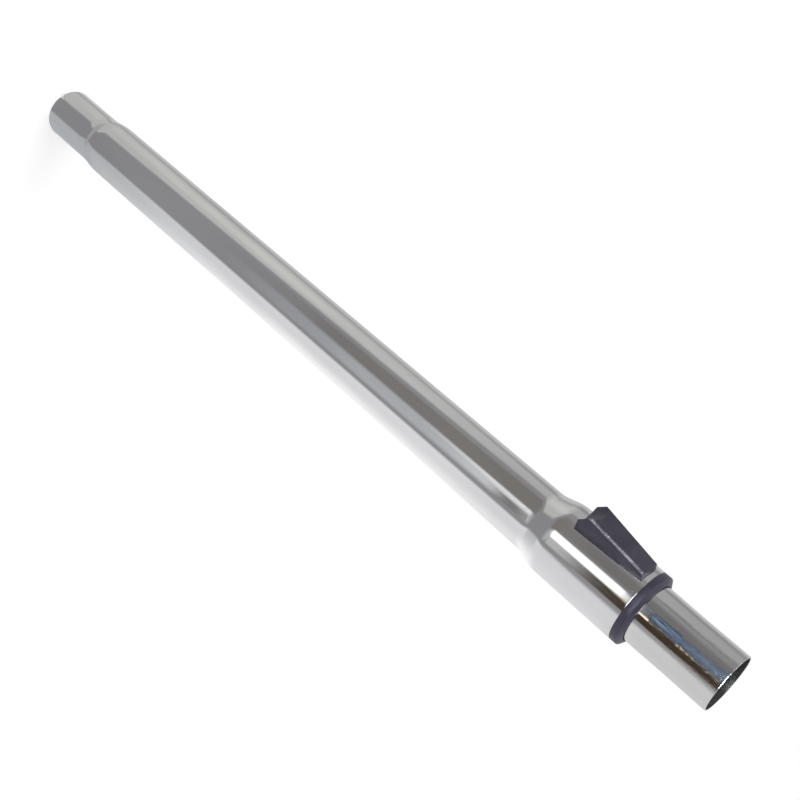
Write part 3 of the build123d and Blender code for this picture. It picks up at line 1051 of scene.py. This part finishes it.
@dataclass
class ReleaseButton:
    """Wedge with a thumb scoop at its tall end, and two legs that reach the slider."""

    toe_half_width: float = 5.9 * MM
    tail_half_width: float = 7.5 * MM
    toe_rise: float = 3.8 * MM
    toe_rake: float = 0.8 * MM
    scoop_reach: float = 5.4 * MM
    scoop_radius: float = 11.0 * MM
    scoop_land: float = 0.3 * MM
    edge_chamfer: float = 0.95 * MM
    fine_rounding: float = 0.2 * MM
    floor_gap: float = 0.3 * MM
    leg_length: float = 3.0 * MM
    leg_width: float = 5.0 * MM
    leg_root: float = 1.0 * MM
    rear_leg_offset: float = 5.5 * MM
    front_leg_offset: float = 5.7 * MM
    columns: int = 12
    crease: float = 28.0
    shading_crease: float = 24.0
    plastic: MouldedPlastic = MouldedPlastic(
        "button_plastic", (0.036, 0.033, 0.054), (0.052, 0.048, 0.072), gloss=0.36
    )
    # Finish of the long top chamfers: its pale speckled colour is a painted highlight along the edge, on top
    # of edge wear, and it is glossier and more grainy than the faces.
    wear_and_glint: MouldedPlastic = MouldedPlastic(
        "glint_and_wear_edge",
        (0.08, 0.075, 0.1),
        (0.34, 0.33, 0.37),
        gloss=0.14,
        matt=0.22,
        shine=1.0,
        grain_depth=0.3 * MM,
    )
    tail: float = field(init=False)
    toe: float = field(init=False)
    foot: float = field(init=False)
    tail_height: float = field(init=False)
    housing_radius: float = field(init=False)
    floor_radius: float = field(init=False)
    scoop_top: float = field(init=False)
    toe_top: float = field(init=False)
    toe_height: float = field(init=False)
    slope: float = field(init=False)
    scoop_offset: float = field(init=False)
    leg_middles: Point = field(init=False)

    def __post_init__(self) -> None:
        """Reads the button's ends and the housing under it from the frame."""
        low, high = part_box("release_button")
        self.tail = low.z
        self.toe = high.z
        self.foot = -high.y
        self.tail_height = -low.y
        self.housing_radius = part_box("outer_tube")[1].x
        self.floor_radius = self.housing_radius + self.floor_gap
        self.scoop_top = self.tail + self.scoop_reach
        self.toe_top = self.toe - self.toe_rake
        self.toe_height = self.housing_radius + self.toe_rise
        drop = self.tail_height - self.toe_height
        self.slope = drop / (self.toe_top - self.scoop_top)
        self.scoop_offset = sqrt(self.scoop_radius**2 - (self.tail_half_width - self.scoop_land) ** 2)
        rear_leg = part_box("latch_slider")[0].z + self.rear_leg_offset
        self.leg_middles = (rear_leg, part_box("locking_roller")[0].z - self.front_leg_offset)

    def side_view(self) -> list[Point]:
        """Gives the corners of the side view, as distances from the wand's axis and heights."""
        return [
            (self.floor_radius, self.tail),
            (self.tail_height - self.scoop_reach, self.tail),
            (self.tail_height, self.scoop_top),
            (self.toe_height, self.toe_top),
            (self.floor_radius, self.toe),
        ]

    def half_width(self, height: float) -> float:
        """Gives half the button's width at a height."""
        share = (height - self.tail) / (self.toe - self.tail)
        return self.tail_half_width + share * (self.toe_half_width - self.tail_half_width)

    def scoop_depth(self, sideways: float) -> float:
        """Gives how deep the thumb scoop lies under the bevelled tail."""
        reach = self.scoop_radius**2 - sideways**2
        return max(0.0, sqrt(reach) - self.scoop_offset)

    def shape(self) -> bmesh.types.BMesh:
        """Builds the wedge.

        Returns:
            The wedge with sharp edges, closed underneath.
        """
        shape = bmesh.new()
        outline = self.side_view()
        corners = [shape.verts.new((-1, -away, height)) for away, height in outline]
        side = shape.faces.new(corners)
        swept = bmesh.ops.extrude_face_region(shape, geom=[side])
        moved = [v for v in swept["geom"] if isinstance(v, bmesh.types.BMVert)]
        bmesh.ops.translate(shape, verts=moved, vec=RIGHT_SIDE * 2)
        for column in range(1, self.columns):
            place = RIGHT_SIDE * (2 * column / self.columns - 1)
            geometry = shape.verts[:] + shape.edges[:] + shape.faces[:]
            bmesh.ops.bisect_plane(
                shape, geom=geometry, dist=MERGE_GAP, plane_co=place, plane_no=RIGHT_SIDE
            )
        for vert in shape.verts:
            away, height = -vert.co.y, vert.co.z
            gaps = [abs(corner[0] - away) + abs(corner[1] - height) for corner in outline]
            corner = Corner(gaps.index(min(gaps)))
            vert.co.x *= self.half_width(height)
            depth = sqrt(2) * self.scoop_depth(vert.co.x)
            if corner in (Corner.TAIL_FOOT, Corner.TOE_FOOT):
                vert.co.y = -sqrt(self.floor_radius**2 - vert.co.x**2)
            elif corner == Corner.SCOOP_LOW:
                vert.co.y += depth
            elif corner == Corner.SCOOP_HIGH:
                slide = depth / (1 + self.slope)
                vert.co.z += slide
                vert.co.y += slide * self.slope
        bmesh.ops.recalc_face_normals(shape, faces=shape.faces[:])
        return shape

    def round_edges(self, shape: bmesh.types.BMesh) -> None:
        """Chamfers the two long top edges and rounds the others a little. The chamfers get material index 1,
        whose finish paints a highlight along them.

        Args:
            shape: The wedge with sharp edges.
        """

        def lies_along(edge: bmesh.types.BMEdge) -> bool:
            """Tells whether an edge is a long one between the top and a side.

            Args:
                edge: An edge of the wedge.

            Returns:
                True for the two long top edges.
            """
            ends = [v.co for v in edge.verts]
            long = abs(ends[0].z - ends[1].z) > self.scoop_reach * 2
            return long and min(-end.y for end in ends) > self.toe_height - self.fine_rounding

        for size, long in ((self.edge_chamfer, True), (self.fine_rounding, False)):
            edges = [
                edge
                for edge in shape.edges
                if edge.calc_face_angle(0) > radians(self.crease) and (not long or lies_along(edge))
            ]
            rounded = bmesh.ops.bevel(
                shape,
                geom=edges,
                offset=size,
                segments=1 if long else 2,
                profile=0.5,
                affect="EDGES",
                material=-1,
                clamp_overlap=True,
            )
            # Index 1 gives the long chamfers the finish with the painted edge highlight.
            for face in rounded["faces"]:
                face.material_index = int(long)

    def add_legs(self, shape: bmesh.types.BMesh) -> None:
        """Adds the two legs, which reach through the housing's window into the slider.

        Args:
            shape: The wedge with its edges rounded.
        """
        root = self.floor_radius + self.leg_root
        size = Matrix.Diagonal((self.leg_width, root - self.foot, self.leg_length, 1))
        for height in self.leg_middles:
            middle = BUTTON_SIDE * (self.foot + root) / 2 + AXIS * height
            bmesh.ops.create_cube(shape, size=1, matrix=Matrix.Translation(middle) @ size)

    def build(self) -> bpy.types.Object:
        """Builds and dresses the button.

        Returns:
            The button.
        """
        shape = self.shape()
        self.round_edges(shape)
        self.add_legs(shape)
        # The second finish paints a highlight on the long top chamfers.
        return publish(
            shape,
            "moulded_button",
            self.plastic.make(),
            Body.BUTTON,
            "release_button",
            crease=self.shading_crease,
            second=self.wear_and_glint.make(),
        )


@dataclass
class InnerParts:
    """Small parts inside the wand, which keep their solids and get finishes."""

    natural: MouldedPlastic = MouldedPlastic(
        "natural_plastic", (0.8, 0.79, 0.74), (0.86, 0.85, 0.81), gloss=0.4, matt=0.55
    )
    rubber: MouldedPlastic = MouldedPlastic(
        "soft_rubber", (0.03, 0.03, 0.03), (0.05, 0.05, 0.05), gloss=0.6, matt=0.8
    )
    felt: Felt = Felt()
    steel: HardSteel = HardSteel()
    moulded: tuple[str, ...] = (
        "guide_sleeve",
        "latch_slider",
        "glide_shell_right",
        "glide_shell_left",
        "end_ring",
    )
    metal: tuple[str, ...] = ("locking_roller", "return_spring_left", "return_spring_right")

    def dress(self) -> None:
        """Gives each small part its finish."""
        finishes = (
            (self.natural, self.moulded),
            (self.rubber, ("seal_ring",)),
            (self.felt, ("wiper_ring",)),
            (self.steel, self.metal),
        )
        for finish, names in finishes:
            material = finish.make()
            for name in names:
                part = frame["nodes"][name]
                for place in part.material_slots:
                    place.material = material
                if not part.material_slots:
                    part.data.materials.append(material)
                LOG.info("%s: %s", name, material.name)


@dataclass(frozen=True)
class Card:
    """One soft card or lamp of the studio, seen only as a reflection.

    Its sides are azimuths in degrees, counted from the camera's and anticlockwise from above. Each
    has a place at the card's foot and one at its head, so that a card can lean. Its foot and head
    are in degrees above the horizon, and its borders are soft. A broken one shows only in patches.
    """

    name: str
    colour: Colour
    left: Point
    right: Point
    foot: float = -90.0
    head: float = 90.0
    soft: float = 8.0
    fade: float = 6.0
    broken: bool = False


def grey(level: float) -> Colour:
    """Gives a neutral colour."""
    return (level, level, level)


@dataclass
class Studio:
    """Pale floor, white backdrop, soft light and the camera."""

    eye: Vector = Vector((0.3882, -0.3964, 0.608))
    aim: Vector = Vector((0.00003, 0.0002, 0.32552))
    top: Vector = Vector((-0.33194, -0.74078, -0.584))
    lens: float = 52.11
    sensor: float = 36.0
    near_clip: float = 0.01
    camera_azimuth: float = -45.6
    white: Colour = (1.0, 1.0, 1.0)
    room: Colour = (0.72, 0.72, 0.73)
    ambient: float = 0.85
    floor_size: float = 30.0
    floor_colour: Colour = (0.82, 0.82, 0.82)
    floor_lift: float = 0.3
    floor_squares: int = 8
    lamp_size: float = 0.9
    lamp_energy: float = 5.0
    lamp_place: Vector = Vector((-0.5, -0.9, 1.3))
    lamp_target: Vector = Vector((0, 0, 0.3))
    lowest_lean: float = -56.0
    patches: Pattern = Pattern(1, 3, (9, 260, 1))
    patch_range: Range = (0.48, 0.66)
    cards: tuple[Card, ...] = (
        Card("left_window", grey(0.95), (168, 168), (104, 104), -40, -20, soft=60, fade=20),
        Card("left_glare", grey(1.05), (178, 178), (146, 146), -45, -21, soft=24, fade=10),
        Card("left_upper_wall", grey(0.61), (176, 176), (30, 30), foot=-11.8, soft=10, fade=3),
        Card("left_foot", (0.44, 0.455, 0.47), (176, 176), (30, 30), head=-42, soft=10, fade=12),
        Card("right_wall", (0.49, 0.49, 0.48), (-8, -8), (-172, -172), soft=24),
        Card("right_stripe", (0.57, 0.57, 0.545), (-66, -66), (-98, -98), -46, -29, soft=16, fade=12),
        Card("right_upper_wall", grey(0.38), (-8, -8), (-172, -172), foot=-20, soft=24, fade=14),
        Card("right_post", grey(0.37), (-112, -112), (-128, -128), head=-22, soft=14, fade=12),
        Card("right_upper_post", grey(0.28), (-112, -112), (-128, -128), foot=-22, soft=14, fade=12),
        Card("right_end", grey(0.56), (-138, -138), (-172, -172), soft=18),
        Card("table", grey(0.38), (180, 180), (-180, -180), head=-60),
        Card("dark_room", (0.262, 0.262, 0.272), (50, 50), (-21, -84), -63, -14, soft=12, fade=4),
        Card("dark_corner", (0.2, 0.19, 0.18), (-5, 0), (-40, -80), foot=-34, soft=12, fade=10),
        Card("dark_upper_room", grey(0.3), (54, 54), (-60, -64), foot=-16, soft=14, fade=3),
        Card("dark_upper_corner", (0.175, 0.17, 0.165), (-10, -10), (-50, -50), foot=-16, soft=24, fade=3),
        Card("lamp_glow", (0.42, 0.43, 0.45), (36, 34), (-2, -4), -33, -18.4, soft=16, fade=14),
        Card("lamp_halo", grey(0.66), (29, 29), (-2, -4), -22.5, -18.4, soft=16, fade=6),
        Card("lamp_line", grey(0.85), (5, 5), (-5, -5), -22, -17.5, soft=5, fade=10),
        Card("dark_step", grey(0.17), (36, 36), (11, 11), -20.4, -18.2, soft=5, fade=1),
        Card("lamp_side", grey(0.5), (36, 36), (8, 8), -18.4, -14.8, soft=6, fade=2.5),
        Card("brown_door", (0.056, 0.038, 0.024), (38, 43), (9, 17), foot=-15, soft=4, fade=3),
        Card("blue_window", (0.035, 0.05, 0.075), (9, 15), (-10, -32), -11.5, -5, soft=6, fade=1.5),
        Card("blue_glint", (0.55, 0.76, 1.05), (2, 12), (-12, -28), -9.8, -5, soft=8, fade=1.8, broken=True),
        Card("cream_edge", (1.4, 1.25, 0.95), (17, 18), (11, 12), -12, -9.9, soft=3, fade=1),
        Card("lamp", grey(1.7), (12, 13), (-7, -7), -17.8, -12.6, soft=9, fade=0.5),
        Card("upper_lamp", (20.0, 20.5, 22.0), (22, 22), (-20, -20), 0.5, 8.5, soft=12, fade=3),
    )

    def build_camera(self) -> None:
        """Places the camera at the photograph's view."""
        data = bpy.data.cameras.new("camera")
        data.lens = self.lens
        data.sensor_width = self.sensor
        data.clip_start = self.near_clip
        camera = bpy.data.objects.new("camera", data)
        bpy.context.scene.collection.objects.link(camera)
        forward = (self.aim - self.eye).normalized()
        right = forward.cross(self.top).normalized()
        up = right.cross(forward)
        turn = Matrix((right, up, -forward)).transposed()
        camera.matrix_world = Matrix.Translation(self.eye) @ turn.to_4x4()
        bpy.context.scene.camera = camera

    def build_floor(self) -> None:
        """Lays a pale floor that takes the wand's shadow."""
        shape = bmesh.new()
        squares = self.floor_squares
        bmesh.ops.create_grid(shape, x_segments=squares, y_segments=squares, size=self.floor_size / 2)
        mesh = bpy.data.meshes.new("floor")
        shape.to_mesh(mesh)
        shape.free()
        material, graph = new_material("floor_paint")
        to_camera = graph.add("ShaderNodeLightPath").outputs["Is Camera Ray"]
        lift = graph.times(to_camera, self.floor_lift)
        paint = graph.add("ShaderNodeBsdfDiffuse", {"Color": (*self.floor_colour, 1)}).outputs[0]
        glow = graph.add("ShaderNodeEmission", {"Color": (*self.white, 1), "Strength": lift}).outputs[0]
        both = graph.add("ShaderNodeAddShader", {0: paint, 1: glow}).outputs[0]
        graph.add("ShaderNodeOutputMaterial", {"Surface": both})
        mesh.materials.append(material)
        floor = bpy.data.objects.new("floor", mesh)
        bpy.context.scene.collection.objects.link(floor)
        floor.visible_glossy = False

    def compass(self, graph: Graph) -> tuple[bpy.types.NodeSocket, bpy.types.NodeSocket]:
        """Measures the direction of each reflected ray.

        Args:
            graph: The world's graph.

        Returns:
            Its azimuth from the one towards the camera, and its height above the horizon, in radians.
        """
        direction = graph.add("ShaderNodeTexCoord").outputs["Generated"]
        height = graph.add("ShaderNodeSeparateXYZ", {0: direction}).outputs["Z"]
        ahead = radians(self.camera_azimuth)
        parts = []
        for towards in ((-sin(ahead), cos(ahead), 0), (cos(ahead), sin(ahead), 0)):
            sockets = {0: direction, 1: towards}
            product = graph.add("ShaderNodeVectorMath", sockets, operation="DOT_PRODUCT")
            parts.append(product.outputs["Value"])
        return graph.calculate("ARCTAN2", *parts), graph.calculate("ARCSINE", height)

    def card_share(
        self, graph: Graph, card: Card, azimuth: bpy.types.NodeSocket, steepness: bpy.types.NodeSocket
    ) -> bpy.types.NodeSocket:
        """Gives how much of a card shows in each direction.

        Args:
            graph: The world's graph.
            card: The card.
            azimuth: The direction's azimuth.
            steepness: The direction's height above the horizon.

        Returns:
            A value from 0 to 1.
        """
        ends = (radians(max(card.foot, self.lowest_lean)), radians(min(card.head, 0)))
        soft, fade = radians(card.soft) / 2, radians(card.fade) / 2
        share: Any = 1.0
        for side, sign in ((card.left, -1), (card.right, 1)):
            border = graph.remap(steepness, ends, (radians(side[0]), radians(side[1])), "LINEAR")
            inwards = graph.times(graph.calculate("SUBTRACT", azimuth, border), sign)
            share = graph.times(share, graph.remap(inwards, (-soft, soft), (0, 1)))
        for end, shown in ((card.foot, (0, 1)), (card.head, (1, 0))):
            border = (radians(end) - fade, radians(end) + fade)
            share = graph.times(share, graph.remap(steepness, border, shown))
        return share

    def reflections(self, graph: Graph) -> bpy.types.NodeSocket:
        """Paints the cards and lamps that the chrome reflects.

        Args:
            graph: The world's graph.

        Returns:
            The colour seen in each direction.
        """
        azimuth, steepness = self.compass(graph)
        spots = graph.add("ShaderNodeCombineXYZ", {0: azimuth, 1: steepness}).outputs[0]
        sockets = {"Vector": spots, "Scale": self.patches.stretch}
        where = graph.add("ShaderNodeMapping", sockets).outputs["Vector"]
        noise = graph.noise(where, self.patches.scale, self.patches.detail)
        patches = graph.remap(noise, self.patch_range, (0, 1))
        colour: Any = self.room
        for card in self.cards:
            share = self.card_share(graph, card, azimuth, steepness)
            if card.broken:
                share = graph.times(share, patches)
            colour = graph.blend(share, colour, card.colour)
        return colour

    def build_world(self) -> None:
        """Makes the white backdrop, the soft light and the studio that the chrome reflects."""
        world = bpy.data.worlds.new("studio")
        world.use_nodes = True
        bpy.context.scene.world = world
        graph = Graph(world.node_tree)
        path = graph.add("ShaderNodeLightPath")
        soft = tuple(self.ambient * channel for channel in self.white)
        shown = graph.blend(path.outputs["Is Glossy Ray"], soft, self.reflections(graph))
        shown = graph.blend(path.outputs["Is Camera Ray"], shown, self.white)
        light = graph.add("ShaderNodeBackground", {"Color": shown, "Strength": 1.0}).outputs[0]
        graph.add("ShaderNodeOutputWorld", {"Surface": light})
        world.cycles.sampling_method = "NONE"

    def build_lamp(self) -> None:
        """Hangs one broad soft lamp above the camera's left."""
        data = bpy.data.lights.new("soft_lamp", "AREA")
        data.shape = "RECTANGLE"
        data.size = self.lamp_size
        data.size_y = self.lamp_size
        data.energy = self.lamp_energy
        lamp = bpy.data.objects.new("soft_lamp", data)
        bpy.context.scene.collection.objects.link(lamp)
        lamp.location = self.lamp_place
        lamp.rotation_mode = "QUATERNION"
        lamp.rotation_quaternion = (self.lamp_target - self.lamp_place).to_track_quat("-Z", "Y")

    def build(self) -> None:
        """Sets up the whole studio."""
        self.build_camera()
        self.build_floor()
        self.build_world()
        self.build_lamp()
        bpy.context.scene.view_settings.view_transform = "Standard"
        LOG.info("studio: %d cards", len(self.cards))


def main() -> None:
    """Builds the studio and every piece of the wand."""
    logging.basicConfig(level=logging.INFO, format="%(name)s %(message)s")
    Studio().build()
    OuterTube().build()
    InnerTube().build()
    Collar().build()
    ReleaseButton().build()
    InnerParts().dress()


if __name__ == "__main__":
    main()
